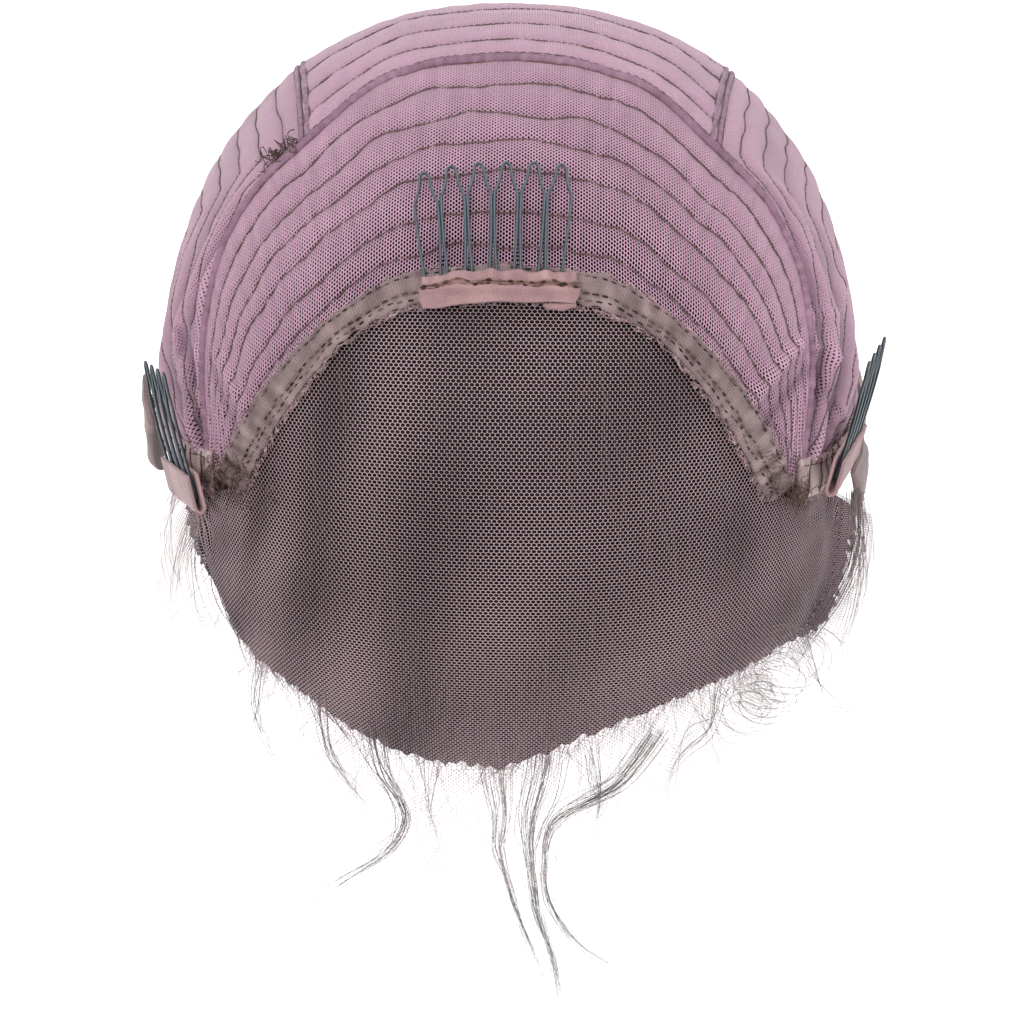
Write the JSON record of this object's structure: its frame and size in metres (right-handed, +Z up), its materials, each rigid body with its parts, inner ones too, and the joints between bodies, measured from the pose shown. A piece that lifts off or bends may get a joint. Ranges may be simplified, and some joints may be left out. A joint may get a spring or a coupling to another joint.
{
  "type": "lace front wig",
  "caption": "Wig cap of stretch net with a sheer lace front, turned inside out, with sewn-in wire combs and dark hair inside.",
  "frame": {"origin": "inside of the crown of the cap, where the top of a head touches", "axes": "+Z up out of the crown, -Y towards the forehead and the lace front, +X towards the wearer's left ear"},
  "size_m": [0.1851, 0.2406, 0.331],
  "materials": {
    "stretch_net": "dusty mauve stretch net",
    "lace": "fine hexagonal net, pale pinkish beige, see-through",
    "grosgrain_taupe": "taupe ribbed ribbon, matt, stitched in brown",
    "grosgrain_pink": "dusty pink ribbed ribbon",
    "comb_wire": "blue-grey plastic-coated wire, satin",
    "hair": "nearly black hair with brown glints"
  },
  "bodies": {
    "root": {"lace_front_panel": "lace", "lace_seam_ribbon": "grosgrain_taupe", "crown_front_panel": "stretch_net", "crown_back_panel": "stretch_net", "side_panel_left": "stretch_net", "side_panel_right": "stretch_net", "perimeter_band": "grosgrain_taupe", "ear_tab_left": "grosgrain_taupe", "ear_tab_right": "grosgrain_taupe", "comb_front": "comb_wire", "comb_left": "comb_wire", "comb_right": "comb_wire", "comb_tape_front": "grosgrain_pink", "comb_tape_left": "grosgrain_pink", "comb_tape_right": "grosgrain_pink", "hair": "hair"}
  },
  "joints": []
}
